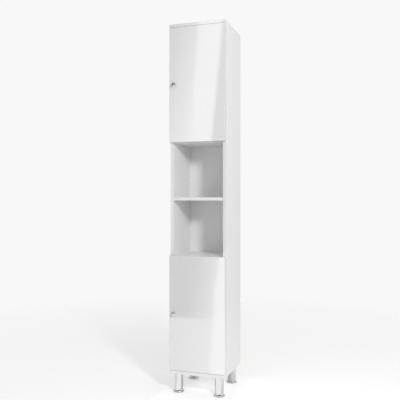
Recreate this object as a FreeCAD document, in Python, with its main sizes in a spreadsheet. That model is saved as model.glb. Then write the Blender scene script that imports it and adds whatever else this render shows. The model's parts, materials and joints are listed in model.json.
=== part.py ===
"""Tall bathroom cabinet: two doors, an open bay between them, four levelling legs.

Millimetres. +Z up, +Y towards the wall, doors on the -Y side, both hinged on the right (+X).
The origin is on the floor under the middle of the whole outline, knobs included.
"""
import FreeCAD, Part
import math
import os
import re
import Sketcher
from FreeCAD import Placement, Rotation, Vector

# ---------------------------------------------------------------- driving sizes

SIZES = [
    # alias, value, what it is
    ("width", 300, "overall width"),
    ("depth", 300, "door faces to the rear edges of the side panels"),
    ("body_height", 1800, "underside of the bottom board to the top"),
    ("leg_height", 100, "floor to the underside of the bottom board"),
    ("board_thickness", 16, "every melamine-faced board"),
    # doors
    ("door_thickness", 16, "door panel"),
    ("door_height", 591, "each door"),
    ("door_gap", 2, "between a door and the panel edges behind it"),
    ("door_reveal", 1, "above the upper door and below the lower one"),
    ("door_side_inset", 0.5, "door edge in from the side of the body"),
    ("edge_round", 1, "rounding of the door face's outline"),
    ("bumper_radius", 4, "soft bumper inside the free edge"),
    ("bumper_inset", 20, "bumper centre from the door's top or bottom edge"),
    # knobs
    ("knob_projection", 25, "door face to the tip of the knob"),
    ("knob_radius", 10, "head"),
    ("knob_head_depth", 8, "tip to the rear edge of the head"),
    ("knob_brim", 3, "straight edge of the head"),
    ("knob_shoulder_radius", 4, "rounding between the brim and the dome"),
    ("knob_dome_radius", 7.2, "domed front of the head"),
    ("knob_dome_rise", 2, "domed front of the head"),
    ("knob_neck_radius", 4, "neck"),
    ("knob_neck_start", 4, "door face to the straight neck"),
    ("knob_neck_end", 8, "door face to the flare under the head"),
    ("knob_flare_radius", 10, "flare under the head"),
    ("knob_foot_radius", 6.5, "foot on the door"),
    ("knob_foot_height", 1.5, "foot on the door"),
    ("knob_edge_inset", 30, "knob centre from the door's free edge"),
    ("knob_screw_radius", 1.95, "thread"),
    ("knob_screw_grip", 10, "thread length inside the knob"),
    # back sheets
    ("back_recess", 20, "rear edges to the back sheet"),
    ("back_thickness", 3, "back sheet"),
    ("groove_depth", 7, "groove that the sheet slides in"),
    ("groove_play", 0.1, "each side of the sheet"),
    ("sheet_entry", 6, "how far the sheet goes into its groove"),
    ("joiner_wall", 0.8, "flanges and web of the joiner strip"),
    ("joiner_height", 14, "height of the joiner strip's flanges"),
    ("joiner_play", 0.3, "each end of the joiner strip"),
    ("board_rear_play", 1, "fixed boards to the back sheet"),
    # loose shelves and their pins
    ("bay_shelf_setback", 0.5, "bay shelf behind the panel fronts"),
    ("cupboard_shelf_setback", 20, "cupboard shelves behind the panel fronts"),
    ("shelf_side_play", 0.5, "each end of a loose shelf"),
    ("shelf_rear_play", 2, "loose shelves to the back sheet"),
    ("pin_radius", 2.5, "peg of a shelf pin"),
    ("pin_entry", 8, "peg length in the panel"),
    ("pin_hole_depth", 10, "hole for the peg"),
    ("pin_collar_radius", 4, "collar against the panel"),
    ("pin_collar_thickness", 1.5, "collar"),
    ("collar_drop", 0.2, "top of the collar below the shelf"),
    ("pin_tongue_length", 8, "tongue under the shelf"),
    ("pin_tongue_width", 7, "tongue under the shelf"),
    ("pin_tongue_thickness", 2, "tongue under the shelf"),
    ("pin_pitch", 32, "between holes in a row"),
    ("pin_inset", 50, "pin rows from the panel front and from the back sheet"),
    # cam fittings and dowels
    ("fixing_inset", 50, "cam fittings from the panel front and from the back sheet"),
    ("dowel_offset", 32, "dowel beside its cam fitting"),
    ("cam_radius", 7.5, "bore for the cam lock"),
    ("cam_depth", 12.5, "bore for the cam lock"),
    ("cam_play", 0.1, "around the cam lock and at the bottom of its bore"),
    ("cam_distance", 34, "cam centre from the joint"),
    ("cam_way_play", 0.3, "around the bolt's head inside the cam"),
    ("cam_way_extra", 1.5, "room past the bolt's head inside the cam"),
    ("cam_slot", 1.6, "width of the driver cross"),
    ("cam_slot_reach", 4.5, "arms of the driver cross"),
    ("cam_slot_depth", 2.5, "depth of the driver cross"),
    ("bolt_bore_radius", 4, "bore along the board for the cam bolt"),
    ("bolt_head_radius", 3.5, "head held by the cam"),
    ("bolt_head_length", 5, "head held by the cam"),
    ("bolt_neck_radius", 2.5, "shank"),
    ("bolt_thread_radius", 2.95, "thread in the panel"),
    ("bolt_thread_length", 11, "thread in the panel"),
    ("dowel_radius", 4, "bore for the dowel"),
    ("dowel_play", 0.05, "around the dowel"),
    ("dowel_end_entry", 20, "dowel length in the board's end"),
    ("dowel_face_entry", 10, "dowel length in the board's face"),
    ("bore_play", 0.05, "around a thread in its hole"),
    ("bore_extra", 1, "bores go this much deeper than what they hold"),
    ("overshoot", 1, "cutters run this far past a face"),
    # screws for wood, all alike
    ("screw_radius", 1.75, "thread"),
    ("screw_length", 14, "under the head"),
    ("screw_head_radius", 3.2, "pan head"),
    ("screw_head_height", 1.8, "pan head"),
    ("cross_reach", 2, "arms of the driver cross in a screw head"),
    ("cross_width", 0.8, "driver cross in a screw head"),
    ("cross_depth", 1, "driver cross in a screw head"),
    # concealed cup hinges
    ("hinge_inset", 90, "hinge centre from the door's top or bottom edge"),
    ("cup_edge", 4, "edge of the cup bore from the side of the body"),
    ("cup_radius", 17.5, "cup"),
    ("cup_depth", 12, "cup"),
    ("cup_wall", 1, "cup and its flange"),
    ("cup_play", 0.05, "around the cup in its bore"),
    ("flange_height", 54, "flange on the door"),
    ("flange_width", 24, "flange on the door"),
    ("flange_inset", 12, "flange edge from the side of the body"),
    ("cup_screw_spacing", 48, "between the two cup screws"),
    ("cup_screw_offset", 6, "cup screws beyond the cup's centre"),
    ("pivot_radius", 1.25, "pivot pins"),
    ("pivot_play", 0.05, "around a pivot pin in the link's eye"),
    ("cup_pin_inset", 5.4, "pivot in the cup, from the cup's edge"),
    ("cup_pin_depth", 5.5, "pivot in the cup, from the door's back"),
    ("cup_pin_half", 11.3, "half the length of the pin in the cup"),
    ("arm_pin_rise", 8.3, "pivot on the arm, above the panel's inner face"),
    ("arm_pin_setback", 4.2, "pivot on the arm, behind the panel front"),
    ("link_thickness", 2.2, "bent link strip"),
    ("link_width", 8, "bent link strip"),
    ("link_eye_radius", 2.2, "eyes round the pins"),
    ("knee_inset", 18.1, "first bend of the link, from the cup's edge"),
    ("knee_depth", 8.8, "first bend of the link, from the door's back"),
    ("hook_inset", 10.9, "second bend of the link, from the cup's edge"),
    ("hook_depth", 9.2, "second bend of the link, from the door's back"),
    ("arm_length", 62, "panel front to the rear end of the arm"),
    ("arm_wall", 1.5, "arm's web and cheeks"),
    ("arm_tip_radius", 3.2, "arm's tip round its pin"),
    ("arm_play", 0.3, "link between the arm's cheeks"),
    ("web_play", 0.6, "web end behind the arm's tip"),
    ("plate_thickness", 3, "hinge mounting plate"),
    ("plate_height", 48, "hinge mounting plate"),
    ("plate_front", 20, "mounting plate behind the panel front"),
    ("plate_rear", 60, "rear end of the mounting plate"),
    ("plate_screw_line", 37, "plate screws behind the panel front"),
    ("plate_screw_spacing", 32, "between the two plate screws"),
    ("rib_front", 24, "front end of the raised rib"),
    ("rib_play", 0.1, "rib between the arm's cheeks"),
    ("arm_screw_front", 31, "front arm screw behind the panel front"),
    ("arm_screw_rear", 52, "rear arm screw behind the panel front"),
    ("arm_screw_radius", 2.95, "thread"),
    ("arm_screw_length", 7.5, "under the head"),
    ("arm_screw_play", 0.2, "hole deeper than the arm screw"),
    ("arm_screw_head_radius", 4.2, "head"),
    ("arm_screw_head_height", 1.5, "head"),
    # legs
    ("leg_side_inset", 40, "leg centre from the side of the body"),
    ("leg_front_inset", 34, "leg centre from the door faces"),
    ("leg_rear_inset", 34, "leg centre from the rear edges"),
    ("leg_radius", 22.5, "tube"),
    ("leg_wall", 1.5, "tube"),
    ("leg_plate_radius", 32, "plate that holds the tube"),
    ("leg_plate_thickness", 3, "plate that holds the tube"),
    ("leg_screw_circle", 27.2, "screws from the leg's axis"),
    ("foot_radius", 28.5, "rim of the foot"),
    ("foot_rim", 4, "height of the rim"),
    ("foot_edge", 0.8, "bevel under the rim"),
    ("foot_neck_z", 13, "top of the flare"),
    ("foot_height", 18, "top of the foot, where the tube starts"),
    ("foot_collar_height", 10, "guiding collar inside the tube"),
    ("foot_collar_play", 0.4, "around the collar"),
    ("flare_radius", 14, "concave flare of the foot"),
    ("stud_radius", 5, "levelling stud"),
    ("stud_foot_z", 6, "lower end of the stud"),
    ("stud_top_z", 80, "upper end of the stud"),
    ("insert_z", 40, "lower face of the threaded insert"),
    ("insert_height", 12, "threaded insert"),
    ("stud_play", 0.05, "around the stud in the insert"),
    # wall bracket
    ("bracket_width", 60, "angle bracket"),
    ("bracket_leg", 30, "each leg of the angle"),
    ("bracket_wall", 2, "angle bracket"),
    ("bracket_hole_radius", 2.75, "holes for the wall screws"),
    ("bracket_hole_spacing", 40, "between the wall holes"),
    ("bracket_hole_drop", 18, "wall holes below the top board"),
    ("bracket_screw_spacing", 30, "between the screws into the top board"),
    ("bracket_screw_inset", 15, "those screws from the back sheet"),
    ("sheet_hole_extra", 0.5, "holes in the back sheet wider than the bracket's"),
]

# Places and sizes that follow from the driving sizes.
PLACES = {
    "half_width": "width / 2",
    "total_height": "leg_height + body_height",
    "inner_x": "half_width - board_thickness",
    # depth, from the door faces to the rear edges
    "door_face_y": "(knob_projection - depth) / 2",
    "rear_y": "door_face_y + depth",
    "door_back_y": "door_face_y + door_thickness",
    "panel_front_y": "door_back_y + door_gap",
    "sheet_rear_y": "rear_y - back_recess",
    "sheet_front_y": "sheet_rear_y - back_thickness",
    # heights of the boards' faces
    "bottom_top_z": "leg_height + board_thickness",
    "top_under_z": "total_height - board_thickness",
    "lower_door_z": "bottom_top_z + door_reveal",
    "floor_top_z": "lower_door_z + door_height",
    "floor_under_z": "floor_top_z - board_thickness",
    "upper_door_z": "top_under_z - door_reveal - door_height",
    "bay_top_under_z": "upper_door_z",
    "bay_top_top_z": "upper_door_z + board_thickness",
    # undersides of the loose shelves, each half-way up its space
    "bay_shelf_z": "(floor_top_z + bay_top_under_z - board_thickness) / 2",
    "lower_shelf_z": "(bottom_top_z + floor_under_z - board_thickness) / 2",
    "upper_shelf_z": "(bay_top_top_z + top_under_z - board_thickness) / 2",
    # shelf pins and cam fittings, front and rear
    "pin_front_y": "panel_front_y + pin_inset",
    "pin_rear_y": "sheet_front_y - pin_inset",
    "peg_drop": "pin_collar_radius + collar_drop",
    "cam_front_y": "panel_front_y + fixing_inset",
    "cam_rear_y": "sheet_front_y - fixing_inset",
    "dowel_front_y": "cam_front_y + dowel_offset",
    "dowel_rear_y": "cam_rear_y - dowel_offset",
    # joints between the back sheets, behind the middle of the two fixed boards
    "lower_joint_z": "(floor_top_z + floor_under_z) / 2",
    "upper_joint_z": "(bay_top_top_z + bay_top_under_z) / 2",
    # hinges: u runs inwards from the side of the body, v forwards from the panel fronts
    "cup_u": "cup_edge + cup_radius",
    "cup_pin_u": "cup_edge + cup_pin_inset",
    "cup_pin_v": "door_gap + cup_pin_depth",
    "arm_pin_u": "board_thickness + arm_pin_rise",
    "arm_pin_v": "-arm_pin_setback",
    "knee_u": "cup_edge + knee_inset",
    "knee_v": "door_gap + knee_depth",
    "hook_u": "cup_edge + hook_inset",
    "hook_v": "door_gap + hook_depth",
    "cup_screw_u": "cup_u + cup_screw_offset",
    "plate_top_u": "board_thickness + plate_thickness",
    "web_top_u": "arm_pin_u + arm_tip_radius",
    "web_under_u": "web_top_u - arm_wall",
    "cheek_z": "link_width / 2 + arm_play",
    "arm_half_z": "cheek_z + arm_wall",
    # radius of the arc whose centre lies on the knob's axis
    "dome_curve_radius": "(knob_dome_radius ^ 2 + knob_dome_rise ^ 2) / (2 * knob_dome_rise)",
    # legs
    "leg_x": "half_width - leg_side_inset",
    "leg_front_y": "door_face_y + leg_front_inset",
    "leg_rear_y": "rear_y - leg_rear_inset",
    "leg_plate_z": "leg_height - leg_plate_thickness",
}

# Shelf pin holes of a cupboard, in steps of the pitch from the one in use; the bay has one each.
CUPBOARD_STEPS = (-2, -1, 0, 1, 2)
BAY_STEPS = (0,)

NEAR_ZERO = 1e-9

doc = FreeCAD.newDocument("TallBathroomCabinet")
sheet = doc.addObject("Spreadsheet::Sheet", "Sizes")
for line, (alias, amount, meaning) in enumerate(SIZES, start=1):
    sheet.set("A%d" % line, meaning)
    sheet.set("B%d" % line, str(amount))
    sheet.setAlias("B%d" % line, alias)
doc.recompute()

ALIASES = {alias for alias, amount, meaning in SIZES}
SUBPARTS = []

# ---------------------------------------------------------------- expressions and placing


def expr(text):
    """Expression text for a size written with the names above."""
    def swap(match):
        word = match.group(0)
        if word in PLACES:
            return "(" + expr(PLACES[word]) + ")"
        if word in ALIASES:
            return "Sizes." + word
        return word
    return re.sub(r"[A-Za-z_]\w*", swap, str(text))


def number(text):
    """Present value of such a text."""
    return float(sheet.evalExpression(expr(text)))


TURNS = {
    "+z": Rotation(),
    "-z": Rotation(Vector(1, 0, 0), 180),
    "+x": Rotation(Vector(0, 1, 0), 90),
    "-x": Rotation(Vector(0, 1, 0), -90),
    "+y": Rotation(Vector(1, 0, 0), -90),
    "-y": Rotation(Vector(1, 0, 0), 90),
}

AXES = {
    "+x": Vector(1, 0, 0),
    "-x": Vector(-1, 0, 0),
    "+y": Vector(0, 1, 0),
    "-y": Vector(0, -1, 0),
    "+z": Vector(0, 0, 1),
    "-z": Vector(0, 0, -1),
}


def frame_turn(x_way, z_way):
    """Rotation that lays a piece's own x and z axes along two world directions."""
    x_axis = AXES[x_way]
    z_axis = AXES[z_way]
    return Rotation(x_axis, z_axis.cross(x_axis), z_axis, "ZXY")


def place(piece, x, y, z, turn=None):
    """Bind a piece's place to expressions, with a fixed turn."""
    if turn is not None:
        piece.Placement = Placement(Vector(), turn)
    for axis, text in (("x", x), ("y", y), ("z", z)):
        piece.setExpression("Placement.Base." + axis, expr(text))
    return piece


def subpart(piece, label):
    """Mark a piece as one of the cabinet's sub-parts; its label names its file."""
    piece.Label = label
    SUBPARTS.append(piece)
    return piece


# ---------------------------------------------------------------- plain solids


def box(name, x, y, z):
    """Box between low and high places on each axis."""
    piece = doc.addObject("Part::Box", name)
    for prop, (low, high) in (("Length", x), ("Width", y), ("Height", z)):
        piece.setExpression(prop, expr("(%s) - (%s)" % (high, low)))
    return place(piece, x[0], y[0], z[0])


def rod(name, x, y, z, way, radius, length):
    """Cylinder from a point along a world direction."""
    piece = doc.addObject("Part::Cylinder", name)
    piece.setExpression("Radius", expr(radius))
    piece.setExpression("Height", expr(length))
    return place(piece, x, y, z, TURNS[way])


def fuse(name, pieces):
    """One solid from pieces that overlap or touch."""
    whole = doc.addObject("Part::MultiFuse", name)
    whole.Shapes = pieces
    whole.Refine = True
    return whole


def cut(name, base, tools):
    """A piece less its tools."""
    result = doc.addObject("Part::Cut", name)
    result.Base = base
    result.Tool = tools[0] if len(tools) == 1 else fuse(name + "_tools", tools)
    return result


def copies(label, master, places):
    """Separate copies of one master piece; each place is (x, y, z, turn)."""
    links = []
    for index, (x, y, z, turn) in enumerate(places, start=1):
        link = doc.addObject("App::Link", "%s_%d" % (label, index))
        link.LinkedObject = master
        link.LinkTransform = True
        links.append(place(link, x, y, z, turn))
    group = doc.addObject("Part::Compound", label + "_group")
    group.Links = links
    return subpart(group, label)


def single(label, master, x, y, z, turn=Rotation()):
    """One copy of a master piece as a sub-part of its own."""
    return copies(label, master, [(x, y, z, turn)])


# ---------------------------------------------------------------- sketched solids


def new_body(name, x=0, y=0, z=0, turn=None):
    """Empty body with its own place."""
    return place(doc.addObject("PartDesign::Body", name), x, y, z, turn)


def new_sketch(body, name, role):
    """Sketch on one of the body's own origin planes."""
    sketch = body.newObject("Sketcher::SketchObject", name)
    plane = [item for item in body.Origin.OriginFeatures if item.Role == role][0]
    sketch.AttachmentSupport = (plane, [""])
    sketch.MapMode = "FlatFace"
    return sketch


def dimension(sketch, constraint, name, text):
    """Add a dimension to a sketch and bind it to its expression."""
    index = sketch.addConstraint(constraint)
    sketch.renameConstraint(index, name)
    sketch.setExpression("Constraints." + name, expr(text))


def hold_point(sketch, shape, point, name, x, y):
    """Hold one point of a sketch by its distances from the sketch's origin."""
    for kind, axis, text in (("DistanceX", -2, x), ("DistanceY", -1, y)):
        amount = number(text)
        label = name + kind[-1]
        if abs(amount) < NEAR_ZERO:
            sketch.addConstraint(Sketcher.Constraint("PointOnObject", shape, point, axis))
        elif amount > 0:
            rule = Sketcher.Constraint(kind, -1, 1, shape, point, amount)
            dimension(sketch, rule, label, text)
        else:
            rule = Sketcher.Constraint(kind, shape, point, -1, 1, -amount)
            dimension(sketch, rule, label, "-(%s)" % text)


def arc_middle(start, end, radius, side):
    """Middle point of an arc between two points that bulges to the given side."""
    chord = end - start
    half = chord.Length / 2
    rise = radius - math.sqrt(radius ** 2 - half ** 2)
    across = Vector(-chord.y, chord.x, 0).normalize()
    return (start + end) / 2 + across * (rise * side)


def outline(sketch, corners):
    """Closed outline. A corner is (x, y), or (x, y, radius, side) where an arc leaves it;
    side is 1 where the arc bulges to the left of its chord and -1 to the right."""
    points = [Vector(number(corner[0]), number(corner[1]), 0) for corner in corners]
    ends = []
    for index, corner in enumerate(corners):
        start = points[index]
        end = points[(index + 1) % len(points)]
        if len(corner) == 2:
            shape = sketch.addGeometry(Part.LineSegment(start, end), False)
            ends.append((shape, 1, 2))
        else:
            middle = arc_middle(start, end, number(corner[2]), corner[3])
            anticlockwise = corner[3] < 0
            first, last = (start, end) if anticlockwise else (end, start)
            shape = sketch.addGeometry(Part.Arc(first, middle, last), False)
            ends.append((shape, 1, 2) if anticlockwise else (shape, 2, 1))
    for index, (shape, first, last) in enumerate(ends):
        following, following_first, unused = ends[(index + 1) % len(ends)]
        sketch.addConstraint(
            Sketcher.Constraint("Coincident", shape, last, following, following_first))
    for index, corner in enumerate(corners):
        shape, first, last = ends[index]
        hold_point(sketch, shape, first, "corner%d" % index, corner[0], corner[1])
        if len(corner) > 2:
            rule = Sketcher.Constraint("Radius", shape, number(corner[2]))
            dimension(sketch, rule, "radius%d" % index, corner[2])


def circle(sketch, name, x, y, radius):
    """Circle with its centre and radius bound."""
    centre = Vector(number(x), number(y), 0)
    shape = sketch.addGeometry(Part.Circle(centre, Vector(0, 0, 1), number(radius)), False)
    hold_point(sketch, shape, 3, name, x, y)
    rule = Sketcher.Constraint("Radius", shape, number(radius))
    dimension(sketch, rule, name + "radius", radius)


def revolved(name, corners):
    """Body turned about its own z axis from an outline of (radius, height) corners."""
    body = new_body(name)
    sketch = new_sketch(body, name + "_profile", "XZ_Plane")
    outline(sketch, corners)
    turned = body.newObject("PartDesign::Revolution", name + "_turned")
    turned.Profile = sketch
    turned.ReferenceAxis = (sketch, ["V_Axis"])
    turned.Angle = 360
    body.Tip = turned
    doc.recompute()
    return body


def pocket(body, name, sketch, depth, drilled=True):
    """Pocket that runs along the sketch's normal; it must take material away."""
    before = body.Tip.Shape.Volume
    hollow = body.newObject("PartDesign::Pocket", name)
    hollow.Profile = sketch
    hollow.setExpression("Length", expr(depth))
    hollow.Reversed = drilled
    body.Tip = hollow
    doc.recompute()
    if not hollow.Shape.Volume < before:
        raise ValueError(name + " takes nothing away")
    return hollow


# ---------------------------------------------------------------- fasteners, made once and copied


def pan_screw(name, radius, length, head_radius, head_height):
    """Pan-head screw: thread down from z = 0, head above, with a driver cross."""
    thread = rod(name + "_thread", 0, 0, 0, "-z", radius, length)
    head = rod(name + "_head", 0, 0, 0, "+z", head_radius, head_height)
    blank = fuse(name + "_blank", [thread, head])
    arm = ("-cross_reach", "cross_reach")
    wide = ("-cross_width / 2", "cross_width / 2")
    deep = ("%s - cross_depth" % head_height, "%s + overshoot" % head_height)
    slot = box(name + "_slot", arm, wide, deep)
    cross = box(name + "_cross", wide, arm, deep)
    return cut(name, blank, [slot, cross])


wood_screw = pan_screw("wood_screw", "screw_radius", "screw_length",
                       "screw_head_radius", "screw_head_height")
arm_screw = pan_screw("arm_screw", "arm_screw_radius", "arm_screw_length",
                      "arm_screw_head_radius", "arm_screw_head_height")
knob_screw = pan_screw("knob_screw", "knob_screw_radius", "door_thickness + knob_screw_grip",
                       "screw_head_radius", "screw_head_height")

# Cam lock: face at z = 0, turned into its bore below; the bolt comes in along +x.
cam_body = rod("cam_body", 0, 0, 0, "-z", "cam_radius - cam_play", "cam_depth - cam_play")
cam_way = rod("cam_way", "-(bolt_head_length / 2 + cam_way_extra)", 0, "-board_thickness / 2", "+x",
              "bolt_head_radius + cam_way_play",
              "bolt_head_length / 2 + cam_way_extra + cam_radius + overshoot")
cam_arm = ("-cam_slot_reach", "cam_slot_reach")
cam_wide = ("-cam_slot / 2", "cam_slot / 2")
cam_deep = ("-cam_slot_depth", "overshoot")
cam_slots = [box("cam_slot_x", cam_arm, cam_wide, cam_deep),
             box("cam_slot_y", cam_wide, cam_arm, cam_deep)]
cam_lock = cut("cam_lock", cam_body, [cam_way] + cam_slots)

# Cam bolt: joint at x = 0, thread behind it in the panel, head in front of it in the cam.
cam_bolt = fuse("cam_bolt", [
    rod("cam_bolt_thread", 0, 0, 0, "-x", "bolt_thread_radius", "bolt_thread_length"),
    rod("cam_bolt_neck", 0, 0, 0, "+x", "bolt_neck_radius", "cam_distance"),
    rod("cam_bolt_head", "cam_distance - bolt_head_length / 2", 0, 0, "+x",
        "bolt_head_radius", "bolt_head_length"),
])

dowel = rod("dowel", "-dowel_face_entry", 0, 0, "+x", "dowel_radius - dowel_play",
            "dowel_face_entry + dowel_end_entry")

# Shelf pin: panel face at x = 0, the shelf's underside at z = 0, peg behind, tongue in front.
shelf_pin = fuse("shelf_pin", [
    rod("shelf_pin_peg", "-pin_entry", 0, "-peg_drop", "+x", "pin_radius", "pin_entry"),
    rod("shelf_pin_collar", 0, 0, "-peg_drop", "+x", "pin_collar_radius", "pin_collar_thickness"),
    box("shelf_pin_tongue", ("0", "pin_collar_thickness + pin_tongue_length"),
        ("-pin_tongue_width / 2", "pin_tongue_width / 2"), ("-pin_tongue_thickness", "0")),
])

# ---------------------------------------------------------------- where the fittings go

# Each side of the body: its name, its sign, and the way from that panel into the cabinet.
SIDES = (("left", "-", "+x", "-x"), ("right", "", "-x", "+x"))

# Joints of the top and bottom boards with the side panels' ends:
# name, height of the joint, and the way from the joint into the panel.
END_JOINTS = (("top", "top_under_z", "-z", "+z"), ("bottom", "bottom_top_z", "+z", "-z"))

# Fixed boards between the side panels: name, underside, top, and the way that its cams face.
FIXED_BOARDS = (
    ("bay_floor", "floor_under_z", "floor_top_z", "-z"),
    ("bay_top", "bay_top_under_z", "bay_top_top_z", "+z"),
)

CAM_ROWS = ("cam_front_y", "cam_rear_y")
DOWEL_ROWS = ("dowel_front_y", "dowel_rear_y")
PIN_ROWS = ("pin_front_y", "pin_rear_y")

# Doors: name and height of the door's lower edge.
DOORS = (("upper", "upper_door_z"), ("lower", "lower_door_z"))


def hinge_heights(door_z):
    """Heights of a door's two hinges."""
    return ("%s + door_height - hinge_inset" % door_z, "%s + hinge_inset" % door_z)


def panel_middle_x(sign):
    """Middle of a side panel's thickness."""
    return "%s(half_width - board_thickness / 2)" % sign


# ---------------------------------------------------------------- boards


def side_panel(name, sign, inward, outward):
    """Side panel with its bores, its groove for the back sheets and its shelf pin holes."""
    face_x = "%s(inner_x)" % sign
    outer_x = "%s(half_width)" % sign
    low_x, high_x = (outer_x, face_x) if sign else (face_x, outer_x)
    blank = box(name + "_blank", (low_x, high_x), ("panel_front_y", "rear_y"),
                ("bottom_top_z", "top_under_z"))
    groove_x = "%s(inner_x + groove_depth)" % sign
    groove_low, groove_high = (groove_x, face_x) if sign else (face_x, groove_x)
    tools = [box(name + "_groove", (groove_low, groove_high),
                 ("sheet_front_y - groove_play", "sheet_rear_y + groove_play"),
                 ("bottom_top_z - overshoot", "top_under_z + overshoot"))]
    middle_x = panel_middle_x(sign)
    for end, joint_z, into, away in END_JOINTS:
        cam_z = "%s %s cam_distance" % (joint_z, into[0])
        for row in CAM_ROWS:
            tag = "_".join((name, end, row))
            tools.append(rod(tag + "_cam", face_x, row, cam_z, outward, "cam_radius", "cam_depth"))
            tools.append(rod(tag + "_bolt", middle_x, row, joint_z, into,
                             "bolt_bore_radius", "cam_distance"))
        for row in DOWEL_ROWS:
            tag = "_".join((name, end, row))
            tools.append(rod(tag, middle_x, row, joint_z, into, "dowel_radius",
                             "dowel_end_entry + bore_extra"))
    for board, under, top, cams_face in FIXED_BOARDS:
        middle_z = "(%s + %s) / 2" % (under, top)
        for row in CAM_ROWS:
            tag = "_".join((name, board, row))
            tools.append(rod(tag, face_x, row, middle_z, outward,
                             "bolt_thread_radius + bore_play", "bolt_thread_length + bore_extra"))
        for row in DOWEL_ROWS:
            tag = "_".join((name, board, row))
            tools.append(rod(tag, face_x, row, middle_z, outward, "dowel_radius",
                             "dowel_face_entry + bore_extra"))
    for shelf, steps in (("upper_shelf", CUPBOARD_STEPS), ("bay_shelf", BAY_STEPS),
                         ("lower_shelf", CUPBOARD_STEPS)):
        for row in PIN_ROWS:
            for index, step in enumerate(steps):
                hole_z = "%s_z - peg_drop + (%d) * pin_pitch" % (shelf, step)
                tag = "%s_%s_%s_%d" % (name, shelf, row, index)
                tools.append(rod(tag, face_x, row, hole_z, outward,
                                 "pin_radius + bore_play", "pin_hole_depth"))
    if not sign:
        for door, door_z in DOORS:
            for level, hinge_z in enumerate(hinge_heights(door_z)):
                for way in ("+", "-"):
                    tag = "%s_%s_hinge%d_%s" % (name, door, level, "low" if way == "-" else "high")
                    tools.append(rod(tag, face_x, "panel_front_y + plate_screw_line",
                                     "%s %s plate_screw_spacing / 2" % (hinge_z, way), outward,
                                     "screw_radius + bore_play",
                                     "screw_length - plate_thickness + bore_extra"))
    return subpart(cut(name + "_solid", blank, tools), name)


def end_board(name, joint_z, into, away, low_z, high_z):
    """Top or bottom board, lying across the ends of the side panels."""
    blank = box(name + "_blank", ("-half_width", "half_width"), ("door_face_y", "rear_y"),
                (low_z, high_z))
    groove_reach = "inner_x + groove_depth"
    groove_face = "%s %s groove_depth" % (joint_z, away[0])
    groove_span = (joint_z, groove_face) if away == "+z" else (groove_face, joint_z)
    tools = [box(name + "_groove", ("-(%s)" % groove_reach, groove_reach),
                 ("sheet_front_y - groove_play", "sheet_rear_y + groove_play"), groove_span)]
    for side, sign, inward, outward in SIDES:
        middle_x = panel_middle_x(sign)
        for row in CAM_ROWS:
            tools.append(rod("_".join((name, side, row)), middle_x, row, joint_z, away,
                             "bolt_thread_radius + bore_play", "bolt_thread_length + bore_extra"))
        for row in DOWEL_ROWS:
            tools.append(rod("_".join((name, side, row)), middle_x, row, joint_z, away,
                             "dowel_radius", "dowel_face_entry + bore_extra"))
    return blank, tools


def fixed_board(name, under, top, cams_face):
    """Board between the side panels, held by cam fittings whose cams face a cupboard."""
    blank = box(name + "_blank", ("-inner_x", "inner_x"),
                ("panel_front_y", "sheet_front_y - board_rear_play"), (under, top))
    middle_z = "(%s + %s) / 2" % (under, top)
    face_z = under if cams_face == "-z" else top
    into = "+z" if cams_face == "-z" else "-z"
    tools = []
    for side, sign, inward, outward in SIDES:
        joint_x = "%s(inner_x)" % sign
        cam_x = "%s(inner_x - cam_distance)" % sign
        for row in CAM_ROWS:
            tag = "_".join((name, side, row))
            tools.append(rod(tag + "_cam", cam_x, row, face_z, into, "cam_radius", "cam_depth"))
            tools.append(rod(tag + "_bolt", joint_x, row, middle_z, inward,
                             "bolt_bore_radius", "cam_distance"))
        for row in DOWEL_ROWS:
            tools.append(rod("_".join((name, side, row)), joint_x, row, middle_z, inward,
                             "dowel_radius", "dowel_end_entry + bore_extra"))
    return subpart(cut(name + "_solid", blank, tools), name + "_board")


def loose_shelf(name, setback):
    """Shelf that rests on four pins."""
    return subpart(box(name + "_solid",
                       ("-(inner_x - shelf_side_play)", "inner_x - shelf_side_play"),
                       ("panel_front_y + " + setback, "sheet_front_y - shelf_rear_play"),
                       (name + "_z", name + "_z + board_thickness")), name)


for side, sign, inward, outward in SIDES:
    side_panel(side + "_side_panel", sign, inward, outward)

top_blank, top_tools = end_board("top_board", *END_JOINTS[0][1:], "top_under_z", "total_height")
for way in ("", "-"):
    top_tools.append(rod("top_board_bracket_screw" + ("_left" if way else "_right"),
                         "%sbracket_screw_spacing / 2" % way, "sheet_front_y - bracket_screw_inset",
                         "top_under_z", "+z", "screw_radius + bore_play",
                         "screw_length - bracket_wall + bore_extra"))
subpart(cut("top_board_solid", top_blank, top_tools), "top_board")

bottom_blank, bottom_tools = end_board("bottom_board", *END_JOINTS[1][1:],
                                       "leg_height", "bottom_top_z")
LEGS = (
    ("front_left", "-leg_x", "leg_front_y"),
    ("front_right", "leg_x", "leg_front_y"),
    ("rear_left", "-leg_x", "leg_rear_y"),
    ("rear_right", "leg_x", "leg_rear_y"),
)
SCREW_WAYS = (("+", "+"), ("+", "-"), ("-", "+"), ("-", "-"))


def leg_screw_places():
    """Four screws round each leg, on the diagonals of its plate."""
    places = []
    for leg, x, y in LEGS:
        for way_x, way_y in SCREW_WAYS:
            places.append(("%s %s leg_screw_circle / sqrt(2)" % (x, way_x),
                           "%s %s leg_screw_circle / sqrt(2)" % (y, way_y)))
    return places


for index, (x, y) in enumerate(leg_screw_places()):
    bottom_tools.append(rod("bottom_board_leg_screw_%d" % index, x, y, "leg_height", "+z",
                            "screw_radius + bore_play",
                            "screw_length - leg_plate_thickness + bore_extra"))
subpart(cut("bottom_board_solid", bottom_blank, bottom_tools), "bottom_board")

for board, under, top, cams_face in FIXED_BOARDS:
    fixed_board(board, under, top, cams_face)

loose_shelf("upper_shelf", "cupboard_shelf_setback")
loose_shelf("bay_shelf", "bay_shelf_setback")
loose_shelf("lower_shelf", "cupboard_shelf_setback")

# ---------------------------------------------------------------- back sheets and joiner strips

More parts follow.
